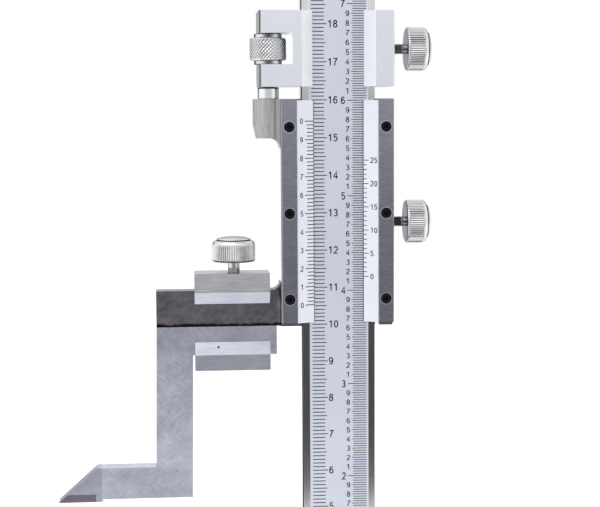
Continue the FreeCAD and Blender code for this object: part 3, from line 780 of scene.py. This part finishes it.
def knob_screw(node, axis, stud, neck, stud_darkening, groove_shade, face, finish, settings):
    """A knurled knob on its threaded stud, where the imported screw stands; its end face lies at the node's end."""
    low, high = box_mm(node)
    line = {"x": 0, "z": 2}[axis]
    origin = (low + high) / 2
    origin[line] = high[line] - KNOB_H
    thread = thread_shell(stud, low[line] - origin[line], 0.3, settings, -neck, stud_darkening, groove_shade)
    points, faces, hollow = merged([knob_shell(stud - settings.thread, groove_shade, face, settings), thread])
    add_piece("knurled_" + node, (turned_to(points, axis, origin), faces, hollow), node,
              find(finish), (node,))


class GAUGE_OT_knob_screws(bpy.types.Operator):
    """Knurled knobs with threaded studs for the slider, the carriage and the scriber clamp"""

    bl_idname = "gauge.knob_screws"
    bl_label = "Knob screws"

    def execute(self, context):
        settings = context.scene.gauge_knurls
        # Node, axis, stud's radius, length of its plain neck, darkening of the stud, painted shade in the grooves,
        # painted shade of the face and finish
        for values in (("slider_lock_screw", "x", 1.42, 1.2, 0.86, 0.95, 0.2, "Bright chrome"),
                       ("carriage_lock_screw", "x", 1.42, 1.2, 0.82, 1.0, 0.3, "Bright chrome"),
                       ("clamp_screw", "z", 1.68, 1.75, 0.0, 0.4, 0.9, "Worn chrome")):
            knob_screw(*values, settings)
        return {"FINISHED"}


class GAUGE_OT_adjusting_nut(bpy.types.Operator):
    """Diamond-knurled nut and the threaded screw that it runs on"""

    bl_idname = "gauge.adjusting_nut"
    bl_label = "Adjusting nut"

    def execute(self, context):
        settings = context.scene.gauge_knurls
        self.make_nut(settings)
        self.make_screw(settings)
        return {"FINISHED"}

    def make_nut(self, settings):
        """r = R - depth * (1 - min(1, 1.05 * min(a, b + 0.3))), with a and b the ridges of two opposite helices."""
        low, high = box_mm("fine_adjust_nut")
        r, hub, bore = (high[0] - low[0]) / 2, 3.7, 1.8
        height = high[2] - low[2]
        rim = 1.1
        corner = 0.4
        lower = [(bore, 0.0), (hub - 0.12, 0.0), (hub, 0.12), (hub, 0.3), (hub, rim - 0.25), (hub, rim - 0.1),
                 (hub, rim), (r - corner, rim), (r, rim + corner)]
        upper = [(across, height - up) for across, up in reversed(lower)]
        band = resampled([lower[-1], upper[0]], 0.13)[1:-1]
        rows = np.vstack([lower[:7], resampled(lower[7:], 0.15), band, resampled(upper[:2], 0.15), upper[2:]])
        columns = settings.diamonds * 6
        around = np.arange(columns)[None, :] / 6
        along = rows[:, 1:] / (TURN * r / settings.diamonds)
        ridges = [1 - np.abs(2 * ((around + side * along) % 1.0) - 1) for side in (-1, 1)]
        hollow = 1 - np.minimum(1, 1.05 * np.minimum(ridges[0], ridges[1] + 0.3))
        radius = np.minimum(rows[:, :1], r - settings.diamond_depth * hollow)
        from_end = np.minimum(rows[:, 1:], height - rows[:, 1:])
        # Painted shadow: dark lines at the hubs' outer ends and where they meet the band.
        hub_edge_shadow = np.where((rows[:, :1] <= hub) & (np.abs(from_end - rim / 2) > rim / 2 - 0.2), 0.85, 0.0)
        on_hub = (rows[:, :1] <= hub) & (rows[:, :1] > hub - 0.1)
        # Painted reflection: dark streaks round the hubs.
        streaks = np.where(on_hub, 0.9 * oily(np.arange(columns)[None, :] / columns), 0.0)
        deep = np.maximum(0.72 * (rows[:, :1] - radius) / settings.diamond_depth, np.maximum(hub_edge_shadow, streaks))
        add_piece("knurled_nut", ring(radius, rows[:, 1:], deep), "fine_adjust_nut",
                  find("Dull chrome"), ("fine_adjust_nut",), foot_mm("fine_adjust_nut"))

    def make_screw(self, settings):
        """A plain foot, a collar with broken edges and a painted shadow line at its top, and a thread above it."""
        low, high = box_mm("fine_adjust_screw")
        foot, collar_h, collar_r, screw_r = 8.0, 3.1, 2.82, 1.75
        top = foot + collar_h
        section = resampled([(screw_r, 0.0), (screw_r, foot), (collar_r - 0.15, foot), (collar_r, foot + 0.15),
                             (collar_r, foot + 0.3), (collar_r, top - 0.5), (collar_r, top - 0.35),
                             (collar_r, top - 0.15), (collar_r - 0.15, top)], 3.0)
        # Painted shadow under the carriage at the collar's top, and a dark line at its foot.
        dark = np.select([section[:, 1] > top - 0.4, np.abs(section[:, 1] - foot) < 0.05], [0.95, 0.8], 0.0)
        collar = revolved(np.repeat(section[:, :1], 64, axis=1), section[:, 1:], dark[:, None])
        thread = thread_shell(screw_r, top - 0.4, high[2] - low[2], settings)
        add_piece("threaded_adjust_screw", merged([collar, thread]), "slider",
                  find("Threaded steel"), ("fine_adjust_screw",), foot_mm("fine_adjust_screw"))


# Socket screws
def socket_shell(shank_r, shank_l, head_r, head_h, key, key_depth, edge):
    """A socket screw about +Z, its head at the top.

    The socket's wall is a hexagon: r = (key / 2) / cos(t'), t' being the angle from the nearest flat.
    """
    columns = 48
    t = np.arange(columns) * TURN / columns
    flat = (key / 2) / np.cos((t + math.pi / 6) % (math.pi / 3) - math.pi / 6)
    top = shank_l + head_h
    full = np.ones(columns)
    radius = [(shank_r - edge) * full, shank_r * full, shank_r * full, head_r * full, head_r * full,
              (head_r - edge) * full, flat + edge / 3, flat, flat]
    height = [0.0, edge, shank_l, shank_l, top - edge, top, top, top - edge / 3, top - key_depth]
    return revolved(np.array(radius), np.array(height)[:, None])


class GAUGE_OT_socket_screws(bpy.types.Operator):
    """Black socket screws in the cover bars and at the back of the base"""

    bl_idname = "gauge.socket_screws"
    bl_label = "Socket screws"

    def execute(self, context):
        self.cover_bar_screws()
        self.keeper_screws()
        return {"FINISHED"}

    def cover_bar_screws(self):
        """Six screws pointing forwards, flush with the bars."""
        low, high = box_mm("cover_bar_screws")
        head = SCREW_HEAD_R
        length = high[1] - low[1]
        points, faces, hollow = socket_shell(shank_r=0.8, shank_l=length - 1.2, head_r=head, head_h=1.12,
                                             key=1.3, key_depth=0.85, edge=0.12)
        points = points * (1, 1, -1)
        faces = [array[:, ::-1] for array in faces]
        shells = [(turned_to(points, "y", (x, high[1], z)), faces, hollow)
                  for x in (low[0] + head, high[0] - head) for z in np.linspace(low[2] + head, high[2] - head, 3)]
        add_piece("bar_socket_screws", merged(shells), "slider", find("Blacked steel"),
                  ("cover_bar_screws",))

    def keeper_screws(self):
        """Two grub screws behind the beam, their sockets towards the back."""
        low, high = box_mm("keeper_screws")
        r = (high[2] - low[2]) / 2
        points, faces, hollow = socket_shell(shank_r=r, shank_l=high[1] - low[1] - 1.0, head_r=r, head_h=1.0,
                                             key=3.0, key_depth=2.5, edge=0.3)
        shells = [(turned_to(points, "y", (x, low[1], (low[2] + high[2]) / 2)), faces, hollow)
                  for x in (low[0] + r, high[0] - r)]
        add_piece("base_grub_screws", merged(shells), "stand", find("Blacked steel"),
                  ("keeper_screws",))


# Engraved marks
def arc(x, y, across, up, first, last, count=9):
    """Points of an ellipse's arc about (x, y), between two angles in degrees."""
    t = np.radians(np.linspace(first, last, count))
    return np.stack([x + across * np.cos(t), y + up * np.sin(t)], -1)


def line(*points):
    """A path of straight runs."""
    return np.array(points, float)


# Each digit is one or two paths along the middle of its stroke, in a cell 0.56 wide and 1 high
DIGITS = {
    "0": [arc(0.28, 0.5, 0.20, 0.43, 0, 360, 17)],
    "1": [line((0.10, 0.74), (0.22, 0.82), (0.32, 0.95)), line((0.32, 0.97), (0.32, 0.04))],
    "2": [np.vstack([arc(0.28, 0.70, 0.19, 0.23, 170, -30), line((0.30, 0.36), (0.07, 0.07)), line((0.50, 0.07))])],
    "3": [np.vstack([arc(0.27, 0.715, 0.17, 0.215, 150, -80, 8), arc(0.27, 0.285, 0.20, 0.215, 80, -150)])],
    "4": [line((0.38, 0.04), (0.38, 0.93), (0.04, 0.33)), line((0.06, 0.31), (0.53, 0.31))],
    "5": [np.vstack([line((0.48, 0.93), (0.15, 0.93), (0.10, 0.50)), arc(0.27, 0.345, 0.21, 0.275, 130, -150, 11)])],
    "6": [np.vstack([arc(0.29, 0.55, 0.20, 0.38, 40, 180, 8), arc(0.28, 0.34, 0.20, 0.27, 180, 520, 15)])],
    "7": [np.vstack([line((0.07, 0.93), (0.50, 0.93)), line((0.33, 0.62), (0.23, 0.34), (0.19, 0.04))])],
    "8": [arc(0.28, 0.725, 0.165, 0.205, 0, 360, 13), arc(0.28, 0.285, 0.20, 0.235, 0, 360, 15)],
    "9": [np.vstack([arc(0.27, 0.45, 0.20, 0.38, 220, 360, 8), arc(0.28, 0.66, 0.20, 0.27, 0, 340, 15)])],
}
DIGIT_CELL = 0.56


def stroke(path, width):
    """A path as a thin slab: four points beside each of its points, half a width out along the corner's middle line.

    Gives (u, v) and the height w, 0 or 1, of each point, and the faces; the ends are closed.
    """
    run = np.diff(path, axis=0)
    run = run / np.linalg.norm(run, axis=1)[:, None]
    closed = np.allclose(path[0], path[-1])
    before = np.vstack([run[-1:] if closed else run[:1], run])
    after = np.vstack([run, run[:1] if closed else run[-1:]])
    aim = before + after
    aim = aim / np.linalg.norm(aim, axis=1)[:, None]
    reach = width / 2 / np.maximum(0.5, (aim * after).sum(axis=1))
    side = np.stack([-aim[:, 1], aim[:, 0]], -1) * reach[:, None]
    flat = np.stack([path - side, path + side, path + side, path - side], 1)
    lift = np.broadcast_to([1.0, 1.0, 0.0, 0.0], flat.shape[:2])
    i = np.arange(len(path) - 1)[:, None] * 4
    k = np.arange(4)[None, :]
    walls = np.stack([i + k, i + 4 + k, i + 4 + (k + 1) % 4, i + (k + 1) % 4], -1).reshape(-1, 4)
    last = (len(path) - 1) * 4
    ends = np.array([[0, 1, 2, 3], [last + 3, last + 2, last + 1, last]])
    return flat.reshape(-1, 2), lift.ravel(), np.vstack([walls, ends])


class Marks:
    """Thin slabs on a face of steel: u goes right, v goes up, and the face's depth y depends on u."""

    def __init__(self, settings, face=0.0, slope=0.0, start=0.0):
        self.settings = settings
        self.face, self.slope, self.start = face, slope, start
        self.shells = []

    def laid(self, u, v, w):
        """Point (u, v) of the face, w of the mark's thickness up from its bottom: w runs along the face's normal."""
        s = self.settings
        out = w * (s.proud + s.sunk) - s.sunk
        lean = math.hypot(1, self.slope)
        x = u + out * self.slope / lean
        y = self.face + self.slope * (u - self.start) - out / lean
        return np.stack([x, y, v], -1)

    def lines(self, left, right, height, width):
        """Bars from left to right at many heights, each a closed box of eight points."""
        height = np.asarray(height, float)
        left = np.broadcast_to(left, height.shape)
        right = np.broadcast_to(right, height.shape)
        u = np.stack([left, right, right, left] * 2, -1)
        v = height[:, None] + np.array([-0.5, -0.5, 0.5, 0.5] * 2) * width
        w = np.broadcast_to(np.array([0, 0, 0, 0, 1, 1, 1, 1]), u.shape)
        corners = np.array([[3, 2, 1, 0], [4, 5, 6, 7], [0, 1, 5, 4], [1, 2, 6, 5], [2, 3, 7, 6], [3, 0, 4, 7]])
        faces = (np.arange(len(height))[:, None, None] * 8 + corners).reshape(-1, 4)
        self.shells.append((self.laid(u, v, w).reshape(-1, 3), [faces], np.zeros(u.size)))

    def ruled(self, heights, near, ends, width):
        """Marks from near to an end: the one given for the first number that divides a mark's place in the row."""
        place = np.arange(len(heights))
        far = np.select([place % every == 0 for every in ends], list(ends.values()))
        self.lines(np.minimum(near, far), np.maximum(near, far), heights, width)

    def number(self, text, left, middle, tall, narrow=1.0):
        """A number whose first digit starts at left, centred on a height."""
        for character in text:
            for path in DIGITS[character]:
                flat, lift, faces = stroke(path, self.settings.stroke)
                u = left + flat[:, 0] * tall * narrow
                v = middle + (flat[:, 1] - 0.5) * tall
                self.shells.append((self.laid(u, v, lift), [faces], np.zeros(len(u))))
            left += DIGIT_CELL * 1.14 * tall * narrow

    def finish(self, name, body, slot):
        """Makes one piece of all the marks."""
        piece = add_piece(name, merged(self.shells), body, find("Mark ink"))
        piece.data.shade_flat()


class GAUGE_OT_beam_scales(bpy.types.Operator):
    """Millimetre and inch scales on the beam"""

    bl_idname = "gauge.beam_scales"
    bl_label = "Beam scales"

    def execute(self, context):
        settings = context.scene.gauge_scales
        self.metric(settings)
        self.inches(settings)
        return {"FINISHED"}

    def metric(self, settings):
        """A mark each millimetre, longer at five and ten, and a number each centimetre."""
        marks = Marks(settings, BEAM_LOW[1])
        left, numbers = -7.15, -2.78
        heights = ZERO_HEIGHT + np.arange(int(settings.top) + 1)
        marks.ruled(heights, left, {10: -3.08, 5: -3.35, 1: -3.77}, settings.line)
        for centimetre, height in enumerate(heights[::10]):
            marks.number(str(centimetre), numbers, height, settings.digit, 1.08)
        marks.finish("metric_scale", "stand", "black_screw")

    def inches(self, settings):
        """A mark each fortieth of an inch, longer at tenths and inches, which are numbered."""
        marks = Marks(settings, BEAM_LOW[1])
        right, numbers = 7.45, 1.99
        heights = ZERO_HEIGHT + INCH_OFFSET + np.arange(int(settings.top_inch * 40) + 1) * INCH / 40
        marks.ruled(heights, right, {40: 2.41, 4: 3.5, 1: 3.82}, settings.fine_line)
        for tenth, height in enumerate(heights[::4]):
            if tenth % 10:
                marks.number(str(tenth % 10), numbers - 0.02, height, settings.small_digit, 1.22)
            else:
                inch = str(tenth // 10)
                marks.number(inch, numbers - 0.64 * settings.digit * len(inch), height, settings.digit)
        marks.finish("inch_scale", "stand", "black_screw")


class GAUGE_OT_vernier_scales(bpy.types.Operator):
    """Metric and inch verniers on their bevelled plates"""

    bl_idname = "gauge.vernier_scales"
    bl_label = "Vernier scales"

    def execute(self, context):
        settings = context.scene.gauge_scales
        self.metric(settings)
        self.inches(settings)
        return {"FINISHED"}

    def plate(self, settings, side, low, high):
        """The slanting face of one plate: its thin tip lies at the beam, its thick edge at the bar."""
        tip = high[0] if side < 0 else low[0]
        edge = box_mm("left_cover_bar")[1][0] if side < 0 else box_mm("right_cover_bar")[0][0]
        thin = high[1] - 0.25
        return Marks(settings, thin, (low[1] - thin) / (edge - tip), tip), tip

    def metric(self, settings):
        """Fifty divisions over 49 mm, numbered each five."""
        marks, tip = self.plate(settings, -1, LEFT_PLATE_LOW, LEFT_PLATE_HIGH)
        numbers = -10.42
        heights = SLIDER_ZERO + np.arange(51) * 49 / 50
        marks.ruled(heights, tip - 0.03, {5: -9.05, 1: -8.5}, settings.line)
        for tenth, height in enumerate(heights[::5]):
            marks.number(str(tenth % 10), numbers, height, settings.vernier_digit)
        marks.finish("metric_vernier_marks", "slider", "black_screw")

    def inches(self, settings):
        """Twenty-five divisions over 49 fortieths of an inch, numbered each five."""
        marks, tip = self.plate(settings, 1, RIGHT_PLATE_LOW, RIGHT_PLATE_HIGH)
        numbers = 8.36
        heights = SLIDER_ZERO + INCH_OFFSET + np.arange(26) * (49 * INCH / 40 / 25)
        marks.ruled(heights, tip + 0.03, {5: 7.95, 1: 7.5}, settings.fine_line)
        for five, height in enumerate(heights[::5]):
            marks.number(str(5 * five), numbers, height, settings.vernier_digit)
        marks.finish("inch_vernier_marks", "slider", "black_screw")


# Stage
CAMERA_AT = (-42.71, -397.92, 210.68)
CAMERA_PITCH = 5.511
CAMERA_YAW = 4.643
CAMERA_ROLL = -0.318


class GAUGE_OT_stage(bpy.types.Operator):
    """White floor and surroundings, a soft lamp and the camera"""

    bl_idname = "gauge.stage"
    bl_label = "Stage"

    def execute(self, context):
        settings = context.scene.gauge_stage
        self.floor(context)
        self.world(context, settings)
        self.lamp(context, settings)
        self.camera(context, settings)
        return {"FINISHED"}

    def floor(self, context):
        """A wide pale plane at the base's sole, white to the camera."""
        half, front, back = 6.0, -0.38, 1.6
        mesh = bpy.data.meshes.new("floor")
        mesh.from_pydata([(-half, front, 0), (half, front, 0), (half, back, 0), (-half, back, 0)], [], [(0, 1, 2, 3)])
        floor = bpy.data.objects.new("floor", mesh)
        context.scene.collection.objects.link(floor)
        mat = Finish("Pale floor", (0.9, 0.9, 0.9), 0.0, 0.9)
        path = mat.node("ShaderNodeLightPath")
        seen = mat.calc("MAXIMUM", path.outputs["Is Camera Ray"],
                        mat.calc("MAXIMUM", path.outputs["Is Glossy Ray"], path.outputs["Is Transmission Ray"]))
        mat.fixed("Emission Color", (1, 1, 1, 1))
        mat.link(mat.calc("MULTIPLY", seen, 0.4), mat.shader.inputs["Emission Strength"])
        mesh.materials.append(mat.material)

    def world(self, context, settings):
        """White all round, dim in front below eye level and in two panels far to the sides behind.

        Each share is a product of smooth steps of the direction's parts; lamps and mirrors see it, the camera doesn't.
        """
        world = bpy.data.worlds.new("Studio")
        world.use_nodes = True
        world.node_tree.nodes.clear()
        sky = Nodes(world.node_tree)

        def fall(value, start, end):
            """A smooth step of a value between two limits."""
            return sky.ranged(value, 0.0, 1.0, start, end, "SMOOTHSTEP")

        direction = sky.node("ShaderNodeTexCoord").outputs["Generated"]
        split = sky.node("ShaderNodeSeparateXYZ")
        sky.link(direction, split.inputs["Vector"])
        back, up = split.outputs["Y"], split.outputs["Z"]
        front = sky.node("ShaderNodeVectorMath", operation="DOT_PRODUCT")
        front.inputs[1].default_value = (0, -0.991, -0.13)
        sky.link(direction, front.inputs[0])
        dim = sky.both(fall(front.outputs["Value"], 0.62, 0.93), fall(up, 0.05, -0.05))
        side = sky.both(fall(back, 0.5, 0.62), fall(back, 0.95, 0.88), fall(up, 0.4, 0.25), fall(up, -0.3, -0.2))
        dark = sky.calc("MAXIMUM", dim, sky.calc("MULTIPLY", side, 0.85))
        room = sky.calc("SUBTRACT", 1.0, sky.calc("MULTIPLY", dark, 1.0 - settings.front))
        path = sky.node("ShaderNodeLightPath").outputs
        mirror = sky.calc("MAXIMUM", path["Is Glossy Ray"], path["Is Transmission Ray"])
        level = sky.calc("MULTIPLY", room, sky.calc("MAXIMUM", mirror, settings.sky))
        background = sky.node("ShaderNodeBackground")
        background.inputs["Color"].default_value = (1, 1, 1, 1)
        sky.link(sky.calc("MAXIMUM", level, path["Is Camera Ray"]), background.inputs["Strength"])
        sky.link(background.outputs["Background"], sky.node("ShaderNodeOutputWorld").inputs["Surface"])
        context.scene.world = world

    def lamp(self, context, settings):
        """A large soft lamp above and to the left, in front."""
        data = bpy.data.lights.new("soft_lamp", "AREA")
        data.shape = "RECTANGLE"
        data.size, data.size_y = 0.9, 0.6
        data.energy = settings.lamp
        lamp = bpy.data.objects.new("soft_lamp", data)
        lamp.location = (-0.55, -0.7, 1.1)
        lamp.rotation_euler = (Vector((0, 0, 0.18)) - lamp.location).to_track_quat("-Z", "Y").to_euler()
        context.scene.collection.objects.link(lamp)

    def camera(self, context, settings):
        """The camera looks along its pitch and yaw, then rolls about that line."""
        pitch, yaw, roll = (math.radians(a) for a in (CAMERA_PITCH, CAMERA_YAW, CAMERA_ROLL))
        ahead = Vector((math.cos(pitch) * math.sin(yaw), math.cos(pitch) * math.cos(yaw), -math.sin(pitch)))
        right = Vector((math.cos(yaw), -math.sin(yaw), 0))
        up = right.cross(ahead)
        across = right * math.cos(roll) + up * math.sin(roll)
        rise = up * math.cos(roll) - right * math.sin(roll)
        data = bpy.data.cameras.new("camera")
        data.lens = settings.lens
        data.sensor_width = 36.0
        camera = bpy.data.objects.new("camera", data)
        turn = Matrix((across, rise, -ahead)).transposed()
        camera.matrix_world = Matrix.LocRotScale(Vector(CAMERA_AT) * MM, turn, None)
        context.scene.collection.objects.link(camera)
        context.scene.camera = camera
        context.scene.view_settings.view_transform = "Standard"


OPERATORS = (GAUGE_OT_stage, GAUGE_OT_finishes, GAUGE_OT_knob_screws, GAUGE_OT_adjusting_nut,
             GAUGE_OT_socket_screws, GAUGE_OT_beam_scales, GAUGE_OT_vernier_scales)
SETTINGS = {"gauge_scales": GaugeScaleSettings, "gauge_knurls": GaugeKnurlSettings,
            "gauge_colours": GaugeColourSettings, "gauge_stage": GaugeStageSettings}


class GAUGE_PT_panel(bpy.types.Panel):
    """Lists the gauge's settings and steps in the sidebar"""

    bl_idname = "GAUGE_PT_panel"
    bl_label = "Height gauge"
    bl_space_type = "VIEW_3D"
    bl_region_type = "UI"
    bl_category = "Gauge"

    def draw(self, context):
        for name, group in SETTINGS.items():
            box = self.layout.box()
            for field in group.__annotations__:
                box.prop(getattr(context.scene, name), field)
        for operator in OPERATORS:
            self.layout.operator(operator.bl_idname)


CLASSES = tuple(SETTINGS.values()) + OPERATORS + (GAUGE_PT_panel,)


def register():
    """Registers the classes and ties each group of settings to the scene."""
    for cls in CLASSES:
        bpy.utils.register_class(cls)
    for name, group in SETTINGS.items():
        setattr(bpy.types.Scene, name, PointerProperty(type=group))


def unregister():
    """Takes back what register did."""
    for name in SETTINGS:
        delattr(bpy.types.Scene, name)
    for cls in reversed(CLASSES):
        bpy.utils.unregister_class(cls)


def main():
    """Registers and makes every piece."""
    register()
    for operator in OPERATORS:
        group, name = operator.bl_idname.split(".")
        getattr(getattr(bpy.ops, group), name)()


if __name__ == "__main__":
    main()
